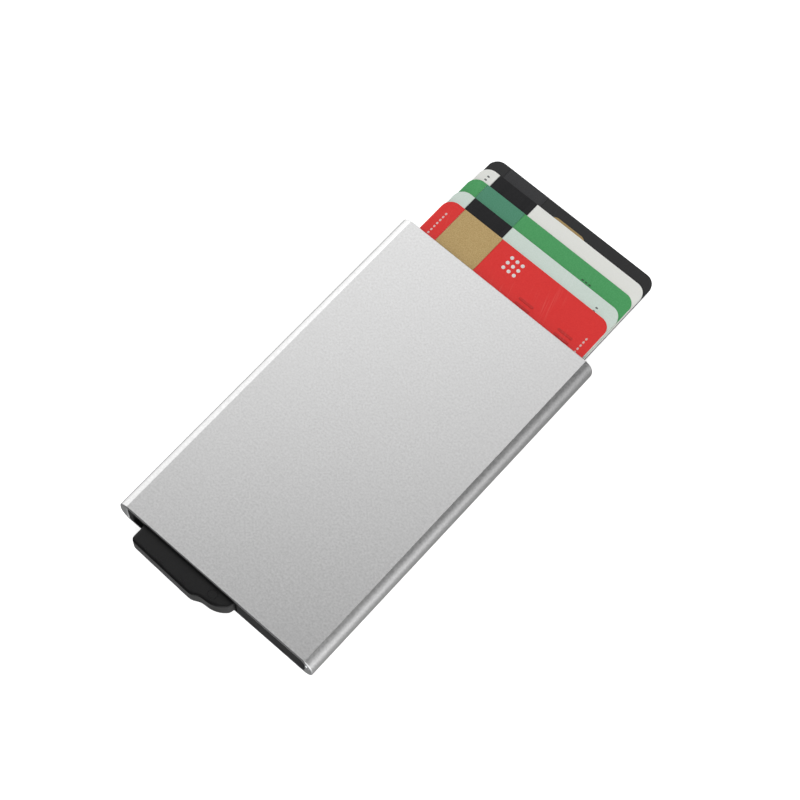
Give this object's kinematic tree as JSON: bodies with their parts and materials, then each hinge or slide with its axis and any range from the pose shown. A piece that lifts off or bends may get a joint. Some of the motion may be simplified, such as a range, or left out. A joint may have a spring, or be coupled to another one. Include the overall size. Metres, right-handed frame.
{
  "type": "pop up card holder",
  "caption": "Slim aluminium card holder; a stepped lever in its end fans the cards out of its mouth.",
  "frame": {"origin": "centre of the sleeve's flat back face, on which the holder lies", "axes": "+Y along the sleeve to the mouth where the cards come out, +Z from the back face to the front face, +X across the width; the lever's pivot is at the -X, -Y corner"},
  "size_m": [0.063, 0.1406, 0.0082],
  "materials": {
    "anodised_aluminium": "bead-blasted, clear anodised",
    "black_abs": "fine moulded texture",
    "lever_abs": "satin moulded",
    "dowel_steel": "ground",
    "felt": "pressed felt",
    "red_pvc": "laminated card",
    "mint_pvc": "laminated card",
    "green_pvc": "laminated card",
    "white_pvc": "laminated card",
    "black_pvc": "laminated card",
    "gold_stripe": "magnetic stripe lacquer",
    "teal_stripe": "magnetic stripe lacquer",
    "black_stripe": "magnetic stripe lacquer",
    "chip_gold": "gold-plated contacts"
  },
  "bodies": {
    "holder": {"sleeve": "anodised_aluminium", "end_frame": "black_abs", "mechanism_cover": "black_abs", "pivot_pin": "dowel_steel", "front_left_felt": "felt", "front_right_felt": "felt", "rear_left_felt": "felt", "rear_right_felt": "felt"},
    "lever": {"trigger_lever": "lever_abs"},
    "red_card": {"red_card": "red_pvc", "red_card_stripe": "gold_stripe", "red_card_chip": "chip_gold"},
    "mint_card": {"mint_card": "mint_pvc", "mint_card_stripe": "black_stripe", "mint_card_chip": "chip_gold"},
    "green_card": {"green_card": "green_pvc", "green_card_stripe": "teal_stripe", "green_card_chip": "chip_gold"},
    "white_card": {"white_card": "white_pvc", "white_card_stripe": "black_stripe", "white_card_chip": "chip_gold"},
    "black_card": {"black_card": "black_pvc", "black_card_stripe": "black_stripe", "black_card_chip": "chip_gold"}
  },
  "joints": [
    {"name": "lever_pivot", "type": "hinge", "parent": "holder", "child": "lever", "pos_m": [-0.0254, -0.0474, 0.0041], "axis": [0, 0, 1], "range_deg": [-43, 0]},
    {"name": "red_card_slide", "type": "slide", "parent": "holder", "child": "red_card", "axis": [0, 1, 0], "range_m": [-0.01316, 0.00001]},
    {"name": "mint_card_slide", "type": "slide", "parent": "holder", "child": "mint_card", "axis": [0, 1, 0], "range_m": [-0.01781, 0.00001]},
    {"name": "green_card_slide", "type": "slide", "parent": "holder", "child": "green_card", "axis": [0, 1, 0], "range_m": [-0.02331, 0.00001]},
    {"name": "white_card_slide", "type": "slide", "parent": "holder", "child": "white_card", "axis": [0, 1, 0], "range_m": [-0.02796, 0.00001]},
    {"name": "black_card_slide", "type": "slide", "parent": "holder", "child": "black_card", "axis": [0, 1, 0], "range_m": [-0.03191, 0.00001]}
  ],
  "couplings": [
    {"joint": "red_card_slide", "follows": "lever_pivot", "m_per_rad": 0.017522},
    {"joint": "mint_card_slide", "follows": "lever_pivot", "m_per_rad": 0.023718},
    {"joint": "green_card_slide", "follows": "lever_pivot", "m_per_rad": 0.031046},
    {"joint": "white_card_slide", "follows": "lever_pivot", "m_per_rad": 0.037242},
    {"joint": "black_card_slide", "follows": "lever_pivot", "m_per_rad": 0.042505}
  ]
}
